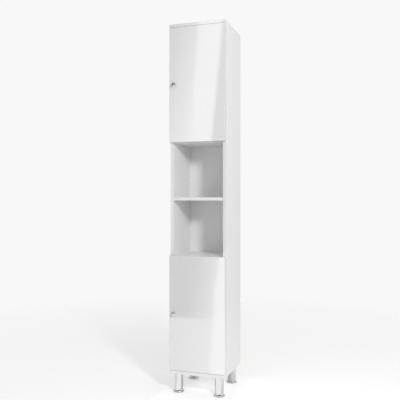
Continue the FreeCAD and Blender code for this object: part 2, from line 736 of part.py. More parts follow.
SHEET_X = ("-(inner_x + sheet_entry)", "inner_x + sheet_entry")
SHEET_Y = ("sheet_front_y", "sheet_rear_y")
HALF_WEB = "joiner_wall / 2"


def joiner(name, joint_z):
    """H-section strip that joins two back sheets behind a fixed board."""
    span = ("-(inner_x - joiner_play)", "inner_x - joiner_play")
    flange_z = ("%s - joiner_height / 2" % joint_z, "%s + joiner_height / 2" % joint_z)
    web_z = ("%s - %s" % (joint_z, HALF_WEB), "%s + %s" % (joint_z, HALF_WEB))
    return subpart(fuse(name + "_solid", [
        box(name + "_front", span, ("sheet_front_y - joiner_wall", "sheet_front_y"), flange_z),
        box(name + "_web", span, SHEET_Y, web_z),
        box(name + "_rear", span, ("sheet_rear_y", "sheet_rear_y + joiner_wall"), flange_z),
    ]), name)


subpart(box("lower_back_solid", SHEET_X, SHEET_Y,
            ("bottom_top_z - sheet_entry", "lower_joint_z - " + HALF_WEB)), "lower_back_sheet")
subpart(box("middle_back_solid", SHEET_X, SHEET_Y,
            ("lower_joint_z + " + HALF_WEB, "upper_joint_z - " + HALF_WEB)), "middle_back_sheet")
upper_blank = box("upper_back_blank", SHEET_X, SHEET_Y,
                  ("upper_joint_z + " + HALF_WEB, "top_under_z + sheet_entry"))
wall_hole_places = [(way + "bracket_hole_spacing / 2", "top_under_z - bracket_hole_drop")
                    for way in ("", "-")]
sheet_holes = [rod("upper_back_hole_%d" % index, x, "sheet_front_y - overshoot", z, "+y",
                   "bracket_hole_radius + sheet_hole_extra", "back_thickness + 2 * overshoot")
               for index, (x, z) in enumerate(wall_hole_places)]
subpart(cut("upper_back_solid", upper_blank, sheet_holes), "upper_back_sheet")
joiner("lower_sheet_joiner", "lower_joint_z")
joiner("upper_sheet_joiner", "upper_joint_z")

# ---------------------------------------------------------------- cams, bolts, dowels, shelf pins

cam_places = []
bolt_places = []
dowel_places = []
for side, sign, inward, outward in SIDES:
    face_x = "%s(inner_x)" % sign
    middle_x = panel_middle_x(sign)
    for end, joint_z, into, away in END_JOINTS:
        cam_z = "%s %s cam_distance" % (joint_z, into[0])
        for row in CAM_ROWS:
            cam_places.append((face_x, row, cam_z, frame_turn(away, inward)))
            bolt_places.append((middle_x, row, joint_z, frame_turn(into, inward)))
        for row in DOWEL_ROWS:
            dowel_places.append((middle_x, row, joint_z, frame_turn(into, inward)))
    for board, under, top, cams_face in FIXED_BOARDS:
        middle_z = "(%s + %s) / 2" % (under, top)
        face_z = under if cams_face == "-z" else top
        cam_x = "%s(inner_x - cam_distance)" % sign
        for row in CAM_ROWS:
            cam_places.append((cam_x, row, face_z, frame_turn(outward, cams_face)))
            bolt_places.append((face_x, row, middle_z, frame_turn(inward, "+z")))
        for row in DOWEL_ROWS:
            dowel_places.append((face_x, row, middle_z, frame_turn(inward, "+z")))
copies("cam_locks", cam_lock, cam_places)
copies("cam_bolts", cam_bolt, bolt_places)
copies("wooden_dowels", dowel, dowel_places)

pin_places = [("%s(inner_x)" % sign, row, shelf + "_z", frame_turn(inward, "+z"))
              for shelf in ("upper_shelf", "bay_shelf", "lower_shelf")
              for side, sign, inward, outward in SIDES
              for row in PIN_ROWS]
copies("shelf_pins", shelf_pin, pin_places)

# ---------------------------------------------------------------- wall bracket

bracket_x = ("-bracket_width / 2", "bracket_width / 2")
bracket_blank = fuse("bracket_blank", [
    box("bracket_upright", bracket_x, ("sheet_front_y - bracket_wall", "sheet_front_y"),
        ("top_under_z - bracket_leg", "top_under_z")),
    box("bracket_ledge", bracket_x, ("sheet_front_y - bracket_leg", "sheet_front_y"),
        ("top_under_z - bracket_wall", "top_under_z")),
])
bracket_holes = [rod("bracket_wall_hole_%d" % index, x,
                     "sheet_front_y - bracket_wall - overshoot", z, "+y",
                     "bracket_hole_radius", "bracket_wall + 2 * overshoot")
                 for index, (x, z) in enumerate(wall_hole_places)]
bracket_screws = [(way + "bracket_screw_spacing / 2", "sheet_front_y - bracket_screw_inset",
                   "top_under_z - bracket_wall", TURNS["-z"]) for way in ("", "-")]
for index, (x, y, z, turn) in enumerate(bracket_screws):
    bracket_holes.append(rod("bracket_screw_hole_%d" % index, x, y, z + " - overshoot", "+z",
                             "screw_radius + bore_play", "bracket_wall + 2 * overshoot"))
subpart(cut("bracket_solid", bracket_blank, bracket_holes), "wall_bracket")
copies("wall_bracket_screws", wood_screw, bracket_screws)

# ---------------------------------------------------------------- legs and feet

leg_plate_holes = [rod("leg_plate_hole_%d" % index,
                       "%s leg_screw_circle / sqrt(2)" % way_x,
                       "%s leg_screw_circle / sqrt(2)" % way_y,
                       "-overshoot", "+z", "screw_radius + bore_play",
                       "leg_plate_thickness + 2 * overshoot")
                   for index, (way_x, way_y) in enumerate(SCREW_WAYS)]
leg_plate = cut("leg_plate", rod("leg_plate_disc", 0, 0, 0, "+z", "leg_plate_radius",
                                 "leg_plate_thickness"), leg_plate_holes)
copies("leg_mounting_plates", leg_plate,
       [(x, y, "leg_plate_z", Rotation()) for leg, x, y in LEGS])
copies("leg_screws", wood_screw,
       [(x, y, "leg_plate_z", TURNS["-z"]) for x, y in leg_screw_places()])

leg_tube = cut("leg_tube", rod("leg_tube_outside", 0, 0, 0, "+z", "leg_radius",
                               "leg_plate_z - foot_height"),
               [rod("leg_tube_inside", 0, 0, "-overshoot", "+z", "leg_radius - leg_wall",
                    "leg_plate_z - foot_height + 2 * overshoot")])
leg_insert = cut("leg_insert", rod("leg_insert_disc", 0, 0, 0, "+z", "leg_radius - leg_wall",
                                   "insert_height"),
                 [rod("leg_insert_hole", 0, 0, "-overshoot", "+z", "stud_radius + stud_play",
                      "insert_height + 2 * overshoot")])
copies("leg_nut_inserts", leg_insert, [(x, y, "insert_z", Rotation()) for leg, x, y in LEGS])

# Foot: rim, concave flare, shoulder under the tube, and a collar that guides it inside the tube.
foot_base = revolved("foot_base", [
    ("stud_radius", "stud_foot_z"),
    ("0", "stud_foot_z"),
    ("0", "0"),
    ("foot_radius - foot_edge", "0"),
    ("foot_radius", "foot_edge"),
    ("foot_radius", "foot_rim", "flare_radius", 1),
    ("leg_radius", "foot_neck_z"),
    ("leg_radius", "foot_height"),
    ("leg_radius - leg_wall - foot_collar_play", "foot_height"),
    ("leg_radius - leg_wall - foot_collar_play", "foot_height + foot_collar_height"),
    ("stud_radius", "foot_height + foot_collar_height"),
])
foot_stud = rod("foot_stud", 0, 0, 0, "+z", "stud_radius", "stud_top_z - stud_foot_z")
for leg, x, y in LEGS:
    single(leg + "_leg_tube", leg_tube, x, y, "foot_height")
    single(leg + "_foot", foot_base, x, y, "0")
    single(leg + "_foot_stud", foot_stud, x, y, "stud_foot_z")

# ---------------------------------------------------------------- concealed hinges
# Each piece is made about the hinge's own corner: the outer face of the right side panel, at its
# front edge, at the hinge's height. There u runs towards -x and v towards -y.


def uv_box(name, u, v, z):
    """Box in a hinge's plan, between low and high u, v and z."""
    return box(name, ("-(%s)" % u[1], "-(%s)" % u[0]), ("-(%s)" % v[1], "-(%s)" % v[0]), z)


def uv_rod(name, u, v, z, way, radius, length):
    """Cylinder in a hinge's plan."""
    return rod(name, "-(%s)" % u, "-(%s)" % v, z, way, radius, length)


def uv_strip(name, start, end, half_z):
    """Straight run of the link's strip between two points of its middle line."""
    span_x = "((%s) - (%s))" % (start[0], end[0])
    span_y = "((%s) - (%s))" % (start[1], end[1])
    angle = "atan2(%s; %s)" % (span_y, span_x)
    run = doc.addObject("Part::Box", name)
    run.setExpression("Length", expr("sqrt(%s ^ 2 + %s ^ 2)" % (span_x, span_y)))
    run.setExpression("Width", expr("link_thickness"))
    run.setExpression("Height", expr("2 * (%s)" % half_z))
    place(run, "-(%s) + link_thickness / 2 * sin(%s)" % (start[0], angle),
          "-(%s) - link_thickness / 2 * cos(%s)" % (start[1], angle), "-(%s)" % half_z)
    run.setExpression("Placement.Rotation.Angle", expr(angle))
    return run


HALF_LINK = "link_width / 2"
LINK_LINE = (("arm_pin_u", "arm_pin_v"), ("knee_u", "knee_v"), ("hook_u", "hook_v"),
             ("cup_pin_u", "cup_pin_v"))

# Mounting plate on the side panel, with a raised rib under the arm.
plate_blank = fuse("hinge_plate_blank", [
    uv_box("hinge_plate_base", ("board_thickness", "plate_top_u"), ("-plate_rear", "-plate_front"),
           ("-plate_height / 2", "plate_height / 2")),
    uv_box("hinge_plate_rib", ("board_thickness", "web_under_u"), ("-plate_rear", "-rib_front"),
           ("-(cheek_z - rib_play)", "cheek_z - rib_play")),
])
plate_holes = []
for way, side in (("", "high"), ("-", "low")):
    plate_holes.append(uv_rod("hinge_plate_hole_" + side, "board_thickness - overshoot",
                              "-plate_screw_line", way + "plate_screw_spacing / 2", "-x",
                              "screw_radius + bore_play", "plate_thickness + 2 * overshoot"))
for place_name in ("arm_screw_front", "arm_screw_rear"):
    plate_holes.append(uv_rod("hinge_plate_" + place_name,
                              "web_top_u - arm_screw_length - arm_screw_play",
                              "-" + place_name, "0", "-x", "arm_screw_radius + bore_play",
                              "arm_screw_length + overshoot"))
hinge_plate = cut("hinge_plate", plate_blank, plate_holes)

# Arm: web over the rib, two cheeks beside it, and a round tip with the arm's pivot.
arm_pieces = [uv_box("hinge_arm_web", ("web_under_u", "web_top_u"),
                     ("-arm_length", "arm_pin_v - arm_tip_radius - web_play"),
                     ("-arm_half_z", "arm_half_z"))]
for side, low, high in (("low", "-arm_half_z", "-cheek_z"), ("high", "cheek_z", "arm_half_z")):
    arm_pieces.append(uv_box("hinge_arm_cheek_" + side, ("plate_top_u", "web_top_u"),
                             ("-arm_length", "arm_pin_v"), (low, high)))
    arm_pieces.append(uv_rod("hinge_arm_tip_" + side, "arm_pin_u", "arm_pin_v", low, "+z",
                             "arm_tip_radius", "arm_wall"))
arm_holes = [uv_rod("hinge_arm_pin_hole", "arm_pin_u", "arm_pin_v", "-arm_half_z - overshoot",
                    "+z", "pivot_radius", "2 * arm_half_z + 2 * overshoot")]
for place_name in ("arm_screw_front", "arm_screw_rear"):
    arm_holes.append(uv_rod("hinge_arm_" + place_name, "web_under_u - overshoot",
                            "-" + place_name, "0", "-x", "arm_screw_radius + bore_play",
                            "arm_wall + 2 * overshoot"))
hinge_arm = cut("hinge_arm", fuse("hinge_arm_blank", arm_pieces), arm_holes)
arm_pin = rod("arm_pin", 0, 0, "-arm_half_z", "+z", "pivot_radius", "2 * arm_half_z")

# Link: a strip bent round the rim of the cup, with an eye at each end.
link_pieces = [uv_strip("hinge_link_run_%d" % index, start, end, HALF_LINK)
               for index, (start, end) in enumerate(zip(LINK_LINE, LINK_LINE[1:]))]
for index, (u, v) in enumerate(LINK_LINE):
    radius = "link_thickness / 2" if index in (1, 2) else "link_eye_radius"
    link_pieces.append(uv_rod("hinge_link_turn_%d" % index, u, v, "-" + HALF_LINK, "+z",
                              radius, "link_width"))
link_holes = [uv_rod("hinge_link_eye_%d" % index, u, v, "-link_width", "+z",
                     "pivot_radius + pivot_play", "2 * link_width")
              for index, (u, v) in enumerate((LINK_LINE[0], LINK_LINE[-1]))]
hinge_link = cut("hinge_link", fuse("hinge_link_blank", link_pieces), link_holes)

# Cup: a round shell sunk in the door, with a flange that is screwed to the door's back.
cup_blank = fuse("hinge_cup_blank", [
    uv_rod("hinge_cup_shell", "cup_u", "door_gap", 0, "-y", "cup_radius", "cup_depth"),
    uv_box("hinge_cup_flange", ("flange_inset", "flange_inset + flange_width"),
           ("door_gap - cup_wall", "door_gap"), ("-flange_height / 2", "flange_height / 2")),
])
cup_holes = [
    uv_rod("hinge_cup_inside", "cup_u", "door_gap - cup_wall - overshoot", 0, "-y",
           "cup_radius - cup_wall", "cup_depth + overshoot"),
    uv_rod("hinge_cup_pin_hole", "cup_pin_u", "cup_pin_v", "-cup_pin_half", "+z",
           "pivot_radius", "2 * cup_pin_half"),
]
for way, side in (("", "high"), ("-", "low")):
    cup_holes.append(uv_rod("hinge_cup_hole_" + side, "cup_screw_u",
                            "door_gap - cup_wall - overshoot",
                            way + "cup_screw_spacing / 2", "-y", "screw_radius + bore_play",
                            "cup_wall + 2 * overshoot"))
hinge_cup = cut("hinge_cup", cup_blank, cup_holes)
cup_pin = rod("cup_pin", 0, 0, "-cup_pin_half", "+z", "pivot_radius", "2 * cup_pin_half")


def hinge_copies(label, master, doors, places):
    """Copies of a hinge piece at every hinge of the doors; places are offsets (u, v, dz, turn)."""
    spots = []
    for door, door_z in doors:
        for hinge_z in hinge_heights(door_z):
            for u, v, dz, turn in places:
                spots.append(("half_width - (%s)" % u, "panel_front_y - (%s)" % v,
                              "%s + (%s)" % (hinge_z, dz), turn))
    return copies(label, master, spots)


AT_HINGE = [("0", "0", "0", Rotation())]
for door in DOORS:
    hinge_copies(door[0] + "_hinge_plates", hinge_plate, [door], AT_HINGE)
    hinge_copies(door[0] + "_hinge_arms", hinge_arm, [door], AT_HINGE)
    hinge_copies(door[0] + "_hinge_links", hinge_link, [door], AT_HINGE)
    hinge_copies(door[0] + "_hinge_cups", hinge_cup, [door], AT_HINGE)
    hinge_copies(door[0] + "_cup_pins", cup_pin, [door],
                 [("cup_pin_u", "cup_pin_v", "0", Rotation())])
    hinge_copies(door[0] + "_cup_screws", wood_screw, [door],
                 [("cup_screw_u", "door_gap - cup_wall", way + "cup_screw_spacing / 2",
                   TURNS["+y"]) for way in ("", "-")])
hinge_copies("arm_pins", arm_pin, DOORS, [("arm_pin_u", "arm_pin_v", "0", Rotation())])
hinge_copies("hinge_plate_screws", wood_screw, DOORS,
             [("plate_top_u", "-plate_screw_line", way + "plate_screw_spacing / 2", TURNS["-x"])
              for way in ("", "-")])
hinge_copies("hinge_arm_screws", arm_screw, DOORS,
             [("web_top_u", "-" + place_name, "0", TURNS["-x"])
              for place_name in ("arm_screw_front", "arm_screw_rear")])

# ---------------------------------------------------------------- doors, knobs, bumpers


def door_panel(name, door_z):
    """Door leaf: rounded face, cup bores, screw holes and the knob's hole.
    The body's origin is at the side of the body, on the door's back, at its lower edge."""
    body = new_body(name + "_door_body", "half_width", "door_back_y", door_z)
    right = "-door_side_inset"
    left = "-(width - door_side_inset)"
    leaf_sketch = new_sketch(body, name + "_leaf_outline", "XZ_Plane")
    outline(leaf_sketch, [(left, "0"), (right, "0"), (right, "door_height"),
                          (left, "door_height")])
    leaf = body.newObject("PartDesign::Pad", name + "_leaf")
    leaf.Profile = leaf_sketch
    leaf.setExpression("Length", expr("door_thickness"))
    body.Tip = leaf
    doc.recompute()
    face_y = -number("door_thickness")
    face_edges = ["Edge%d" % (index + 1) for index, edge in enumerate(leaf.Shape.Edges)
                  if all(abs(vertex.Y - face_y) < 1e-6 for vertex in edge.Vertexes)]
    rounding = body.newObject("PartDesign::Fillet", name + "_leaf_rounding")
    rounding.Base = (leaf, face_edges)
    rounding.setExpression("Radius", expr("edge_round"))
    body.Tip = rounding
    doc.recompute()
    heights = ("hinge_inset", "door_height - hinge_inset")
    cups = new_sketch(body, name + "_cup_circles", "XZ_Plane")
    pilots = new_sketch(body, name + "_pilot_circles", "XZ_Plane")
    for index, height in enumerate(heights):
        circle(cups, "cup%d" % index, "-(cup_u)", height, "cup_radius + cup_play")
        for way in ("+", "-"):
            circle(pilots, "pilot%d%s" % (index, "a" if way == "+" else "b"), "-(cup_screw_u)",
                   "%s %s cup_screw_spacing / 2" % (height, way), "screw_radius + bore_play")
    doc.recompute()
    pocket(body, name + "_cup_bores", cups, "cup_depth + cup_play")
    pocket(body, name + "_pilot_holes", pilots, "screw_length - cup_wall + bore_extra / 2")
    knob_hole = new_sketch(body, name + "_knob_circle", "XZ_Plane")
    circle(knob_hole, "knob", "-(width - door_side_inset - knob_edge_inset)", "door_height / 2",
           "knob_screw_radius + bore_play")
    doc.recompute()
    pocket(body, name + "_knob_hole", knob_hole, "door_thickness + overshoot")
    return subpart(body, name + "_door_panel")


# Knob: foot, waisted neck and domed head, with a threaded bore from behind.
knob = revolved("knob", [
    ("knob_screw_radius + bore_play", "0"),
    ("knob_foot_radius", "0"),
    ("knob_foot_radius", "knob_foot_height"),
    ("knob_neck_radius", "knob_neck_start"),
    ("knob_neck_radius", "knob_neck_end", "knob_flare_radius", 1),
    ("knob_radius", "knob_projection - knob_head_depth"),
    ("knob_radius", "knob_projection - knob_head_depth + knob_brim", "knob_shoulder_radius", -1),
    ("knob_dome_radius", "knob_projection - knob_dome_rise", "dome_curve_radius", -1),
    ("0", "knob_projection"),
    ("0", "knob_screw_grip + bore_extra"),
    ("knob_screw_radius + bore_play", "knob_screw_grip + bore_extra"),
])
bumper = rod("bumper", 0, 0, 0, "+y", "bumper_radius", "door_gap")

for name, door_z in DOORS:
    door_panel(name, door_z)
    knob_x = "-(half_width - door_side_inset - knob_edge_inset)"
    knob_z = door_z + " + door_height / 2"
    single(name + "_knob", knob, knob_x, "door_face_y", knob_z, TURNS["-y"])
    single(name + "_knob_screw", knob_screw, knob_x, "door_back_y", knob_z, TURNS["+y"])
    bumper_x = "-(half_width - board_thickness / 2)"
    copies(name + "_door_bumpers", bumper,
           [(bumper_x, "door_back_y", door_z + " + bumper_inset", Rotation()),
            (bumper_x, "door_back_y", door_z + " + door_height - bumper_inset", Rotation())])

# ---------------------------------------------------------------- check and write

doc.recompute()
failed = [item.Name for item in doc.Objects if "Invalid" in item.State or "Error" in item.State]
if failed:
    raise ValueError("objects that failed: " + ", ".join(failed))
for piece in SUBPARTS:
    if piece.Shape.isNull() or not piece.Shape.isValid() or not piece.Shape.Solids:
        raise ValueError("bad shape: " + piece.Label)

os.makedirs("parts", exist_ok=True)
for piece in SUBPARTS:
    piece.Shape.exportStep(os.path.join("parts", piece.Label + ".step"))
print(len(SUBPARTS), "sub-parts,", sum(len(piece.Shape.Solids) for piece in SUBPARTS), "solids")
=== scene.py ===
import json
import math

import bmesh
import bpy
from mathutils import Matrix, Vector

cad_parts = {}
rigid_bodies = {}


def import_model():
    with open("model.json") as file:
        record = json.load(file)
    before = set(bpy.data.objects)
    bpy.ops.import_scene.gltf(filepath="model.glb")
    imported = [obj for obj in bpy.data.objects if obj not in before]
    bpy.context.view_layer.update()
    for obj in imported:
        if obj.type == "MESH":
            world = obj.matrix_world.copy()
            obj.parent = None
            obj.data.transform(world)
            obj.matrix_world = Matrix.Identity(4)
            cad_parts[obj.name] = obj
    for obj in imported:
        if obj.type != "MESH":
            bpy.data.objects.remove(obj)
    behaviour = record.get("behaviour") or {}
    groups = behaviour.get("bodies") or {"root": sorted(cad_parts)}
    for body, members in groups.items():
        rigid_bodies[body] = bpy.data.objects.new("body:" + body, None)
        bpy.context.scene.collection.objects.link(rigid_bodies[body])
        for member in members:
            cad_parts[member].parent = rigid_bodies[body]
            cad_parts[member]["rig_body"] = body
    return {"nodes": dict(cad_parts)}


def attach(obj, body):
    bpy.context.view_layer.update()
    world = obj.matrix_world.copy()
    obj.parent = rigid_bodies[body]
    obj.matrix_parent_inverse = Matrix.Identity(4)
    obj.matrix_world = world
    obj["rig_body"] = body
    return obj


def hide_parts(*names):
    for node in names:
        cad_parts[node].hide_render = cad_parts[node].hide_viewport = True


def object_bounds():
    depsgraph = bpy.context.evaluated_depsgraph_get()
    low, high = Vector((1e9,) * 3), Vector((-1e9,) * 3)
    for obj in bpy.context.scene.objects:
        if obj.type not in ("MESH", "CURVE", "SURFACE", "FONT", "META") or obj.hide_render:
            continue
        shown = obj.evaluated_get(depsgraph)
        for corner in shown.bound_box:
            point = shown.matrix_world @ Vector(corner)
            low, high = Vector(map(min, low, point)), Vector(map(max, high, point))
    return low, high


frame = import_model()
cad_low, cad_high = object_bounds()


# ---- The room ----
# The cabinet stands on a pale studio floor that fades into white and glows a little. It glows most
# in a pool between the legs: painted light that lifts the cabinet's shadow on the floor. One small
# lamp shines from the right and above, the white room fills in the rest, and light cards show in
# what is glossy.

class Wire:
    """A socket of a node tree. Sums, differences, products and quotients add Math nodes."""

    def __init__(self, tree, socket=None):
        self.tree = tree
        self.socket = socket

    def node(self, kind, settings=None, inputs=None, out=0):
        """Adds any node: its settings first, then the values or wires of its sockets."""
        made = self.tree.nodes.new(kind)
        for name, value in (settings or {}).items():
            setattr(made, name, value)
        for key, value in (inputs or {}).items():
            for wire in value if isinstance(value, list) else [value]:
                if isinstance(wire, Wire):
                    self.tree.links.new(wire.socket, made.inputs[key])
                else:
                    made.inputs[key].default_value = wire
        return Wire(self.tree, made.outputs[out] if made.outputs else None)

    def math(self, operation, first, second=0.0):
        return self.node("ShaderNodeMath", {"operation": operation}, {0: first, 1: second})

    def __add__(self, other):
        return self.math("ADD", self, other)

    __radd__ = __add__

    def __sub__(self, other):
        return self.math("SUBTRACT", self, other)

    def __rsub__(self, other):
        return self.math("SUBTRACT", other, self)

    def __mul__(self, other):
        return self.math("MULTIPLY", self, other)

    __rmul__ = __mul__

    def __truediv__(self, other):
        return self.math("DIVIDE", self, other)

    def step(self, start, end):
        """0 before start, 1 after end, straight in between."""
        if start > end:
            return 1 - self.step(end, start)
        return self.node("ShaderNodeMapRange", {"clamp": True},
                         {"Value": self, "From Min": start, "From Max": end})

    def blend(self, first, second):
        """A colour that goes from first to second as this wire goes from 0 to 1."""
        return self.node("ShaderNodeMix", {"data_type": "RGBA"}, {0: self, 6: first, 7: second}, 2)


def grey(level, warmth=0.0):
    return (level + warmth, level, level - warmth, 1)


def new_material(name):
    """An empty material and the wire that its nodes start from."""
    made = bpy.data.materials.new(name)
    made.use_nodes = True
    made.node_tree.nodes.clear()
    return made, Wire(made.node_tree)


def ends_in(start, kind, shader):
    start.node(kind, None, {"Surface": shader})


floor_reach = 3.2
floor_fade = (0.9, 2.9)
floor_white = (0.89, 0.91)
floor_glow = 0.40
open_share = 0.60
bounce_share = 0.18
painted_light_centre = (0, 0.015, 0)
painted_light_edge = (0.155, 0.03)

bpy.ops.mesh.primitive_circle_add(vertices=96, radius=floor_reach, fill_type="NGON")
floor = bpy.context.object
floor.name = "studio_floor"
floor_paint, start = new_material("pale studio floor")
place = start.node("ShaderNodeTexCoord", out="Object")
speckle = start.node("ShaderNodeTexNoise", None, {"Vector": place, "Scale": 40.0, "Detail": 4.0})
away = start.node("ShaderNodeVectorMath", {"operation": "LENGTH"}, {0: place}, "Value")
bounced = start.node("ShaderNodeLightPath", out="Is Diffuse Ray")
# Painted light: seen directly, the floor glows brighter in a pool under the cabinet, which lightens
# the cabinet's shadow there.
distance_to_painted_light = start.node("ShaderNodeVectorMath", {"operation": "DISTANCE"},
                       {0: place, 1: painted_light_centre}, "Value")
painted_light_pool = distance_to_painted_light.step(*painted_light_edge)
shown_glow = painted_light_pool.blend(grey(open_share), grey(1.0))
matt = start.node("ShaderNodeBsdfPrincipled", None, {
    "Base Color": speckle.blend(*map(grey, floor_white)), "Roughness": 0.75,
    "Emission Color": bounced.blend(shown_glow, grey(bounce_share)),
    "Emission Strength": floor_glow})
clear = start.node("ShaderNodeBsdfTransparent")
ends_in(start, "ShaderNodeOutputMaterial",
        start.node("ShaderNodeMixShader", None, {0: away.step(*floor_fade), 1: matt, 2: clear}))
floor.data.materials.append(floor_paint)

room_light = 0.505
room_seen = 0.94
from_right = 0.10
from_behind = 0.12
from_below = 0.6
from_above = 0.45
world = bpy.data.worlds.new("white room")
world.use_nodes = True
world.node_tree.nodes.clear()
bpy.context.scene.world = world
start = Wire(world.node_tree)
seen = start.node("ShaderNodeLightPath", out="Is Camera Ray")
way = start.node("ShaderNodeTexCoord", out="Generated")
across, behind, up = [start.node("ShaderNodeSeparateXYZ", None, {0: way}, axis) for axis in "XYZ"]
tilt = from_below * up.step(0, -1) + from_above * up.step(0, 1)
fill = room_light * (1 + from_right * across + from_behind * behind + tilt)
level = fill * (1 - seen) + room_seen * seen
sky = start.node("ShaderNodeBackground", None, {"Color": level, "Strength": 1.0})
ends_in(start, "ShaderNodeOutputWorld", sky)

collection = bpy.context.scene.collection
lamp_spot = Vector((1.79, -2.16, 1.96))
lamp_aim = Vector((0, 0, 1))
key = bpy.data.lights.new("key_lamp", "AREA")
key.size = 0.32
key.energy = 36
key_lamp = bpy.data.objects.new("key_lamp", key)
key_lamp.location = lamp_spot
key_lamp.rotation_euler = (lamp_aim - lamp_spot).to_track_quat("-Z", "Y").to_euler()
key_lamp.visible_camera = False
collection.objects.link(key_lamp)


def light_card(name, corners, glow):
    """A sheet that shows only in glossy things. glow gives its brightness from x, y and z."""
    mesh = bpy.data.meshes.new(name)
    mesh.from_pydata(corners, [], [range(len(corners))])
    card = bpy.data.objects.new(name, mesh)
    collection.objects.link(card)
    paint, start = new_material(name)
    place = start.node("ShaderNodeTexCoord", out="Object")
    x, y, z = [start.node("ShaderNodeSeparateXYZ", None, {0: place}, axis) for axis in "XYZ"]
    ends_in(start, "ShaderNodeOutputMaterial", start.node(
        "ShaderNodeEmission", None, {"Color": glow(x, y, z), "Strength": 1.0}))
    mesh.materials.append(paint)
    card.visible_camera = card.visible_diffuse = card.visible_shadow = False


blur = 0.02
upper_strip, wall_haze, pale_wall = 1.55, 0.55, 0.36
dark_end, low_strip, low_haze = 0.15, 0.75, 0.69


def right_of(across, along, lean, foot):
    """How far a spot lies to the right of a leaning line that passes through foot."""
    return across - foot[0] - (along - foot[1]) * lean


def low_light(edge, haze_reach):
    """The low strip of light on the right of an edge, and the haze that grows towards it."""
    return dark_end + edge.step(-blur, blur) * low_strip + edge.step(-haze_reach, 0.0) * low_haze


def dark_wall_glow(x, y, z):
    """The dark end of the studio. From above: a leaning strip of light with a soft glow on its
    left, a plain pale stretch, and a second strip low on the right."""
    left = right_of(x, z, 0.0724, (-1.430, 1.80))
    right = right_of(x, z, 0.1003, (-1.151, 1.79))
    in_strip = left.step(-blur, blur) * right.step(blur, -blur)
    haze = 0.3 + left.step(-0.36, 0.0) * wall_haze + z.step(3.1, 1.8) * 0.5
    high = (in_strip * upper_strip + left.step(blur, -blur) * haze
            + right.step(-blur, blur) * pale_wall)
    middle = pale_wall + x.step(-1.02, -1.05) * 0.52
    low = low_light(right_of(x, z, 0.104, (-1.075, 0.20)), 0.30)
    above_middle = z.step(1.66, 1.72)
    above_low = z.step(0.29, 0.40)
    lit = above_middle * high + above_low * (1 - above_middle) * middle + (1 - above_low) * low
    faded_ends = x.step(-2.2, -1.9) * x.step(-0.6, -0.8)
    return faded_ends * lit


def floor_ahead_glow(x, y, z):
    """The floor before the cabinet, pale close by and dark further off. The low strip crosses it."""
    edge = right_of(x, y, 0.305, (-0.470, -1.886))
    near = y.step(-1.93, -1.86)
    close_by = 0.97 + edge.step(-blur, blur) * 0.55 + edge.step(-0.25, 0.0) * 0.1
    return near * close_by + (1 - near) * low_light(edge, 0.25)


def under_glow(x, y, z):
    """Light that the chrome sees of the floor by the legs: bright in front of them, and painted
    shade, dim, under the cabinet.
    """
    across = x.step(-0.22, -0.14) * x.step(0.15, 0.07)
    along = y.step(0.24, 0.16) * y.step(-0.12, -0.04)
    in_front = y.step(-0.13, -0.16)
    return 0.85 - across * along * 0.28 + in_front * 0.35


def flat_on_floor(left, front, right, rear):
    just_above = 0.0005
    return [(x, y, just_above) for x, y in
            ((left, front), (right, front), (right, rear), (left, rear))]


light_card("dark_studio_wall", [(-6, -4, -2), (5, -4, -2), (5, -4, 5), (-6, -4, 5)],
           dark_wall_glow)
light_card("floor_ahead", flat_on_floor(-2.2, -4, 0.3, -0.5), floor_ahead_glow)
light_card("floor_under", flat_on_floor(-0.2, -0.45, 0.3, 0.25), under_glow)

camera = bpy.data.cameras.new("photograph_view")
camera.lens = 50.73
camera.sensor_width = 36
viewer = bpy.data.objects.new("photograph_view", camera)
viewer.location = (0.9456, -2.8419, 0.9946)
viewer.rotation_euler = (math.radians(90), 0, math.radians(18.9307))
collection.objects.link(viewer)
bpy.context.scene.camera = viewer
bpy.context.scene.view_settings.view_transform = "Standard"


# ---- Side panels and the boards between them ----
# Particle board faced with white melamine, with a thin glossy band glued on the front edges.
# The bores for cams, dowels, hinges and shelf pins show the raw board inside.

nodes = frame["nodes"]
mm = 0.001
door_face = -137.5
panel_front = -119.5
band = 0.6 * mm
seam = 0.15 * mm
board_break = 0.35 * mm
board_white = 0.88
gloss_shade = 0.80
gloss_index = 2.3
gloss_rough = 0.04
cloud_scale = 9.0
pearl_scale = 1400.0
weld = 0.002 * mm
soft_turn = math.radians(35)


def surface(start, **inputs):
    """Closes a material with its Principled shader. Underscores stand for spaces."""
    named = {key.replace("_", " "): value for key, value in inputs.items()}
    ends_in(start, "ShaderNodeOutputMaterial", start.node("ShaderNodeBsdfPrincipled", None, named))


def noise(place, scale, detail=2.0):
    return place.node("ShaderNodeTexNoise", None,
                      {"Vector": place, "Scale": scale, "Detail": detail})


def bumped(height, strength, depth):
    return height.node("ShaderNodeBump", None,
                       {"Strength": strength, "Distance": depth, "Height": height})


def clouded(cloud, shade):
    """A grey that drifts a little around its shade."""
    return cloud.blend(grey(shade - 0.006), grey(shade + 0.006))


def melamine(name, front):
    """White facing with a fine pearl grain. The band and its seam lie just behind the front,
    given in mm."""
    made, start = new_material(name)
    place = start.node("ShaderNodeTexCoord", out="Object")
    pearl = noise(place, pearl_scale)
    cloud = noise(place, cloud_scale, 3.0)
    colour = cloud.blend(grey(board_white - 0.006), grey(board_white + 0.004, -0.001))
    gloss = clouded(cloud, gloss_shade)
    behind = start.node("ShaderNodeSeparateXYZ", None, {0: place}, "Y") - front * mm
    facing = behind.step(band - seam, band)
    line = facing * behind.step(band + 2 * seam, band + seam)
    colour = (line * 0.4).blend(facing.blend(gloss, colour), grey(0.60, 0.02))
    surface(start, Base_Color=colour, Roughness=0.34 + pearl * 0.08, Coat_Weight=1 - facing,
            Coat_IOR=gloss_index, Coat_Roughness=gloss_rough, Normal=bumped(pearl, 0.10, 0.05 * mm))
    return made


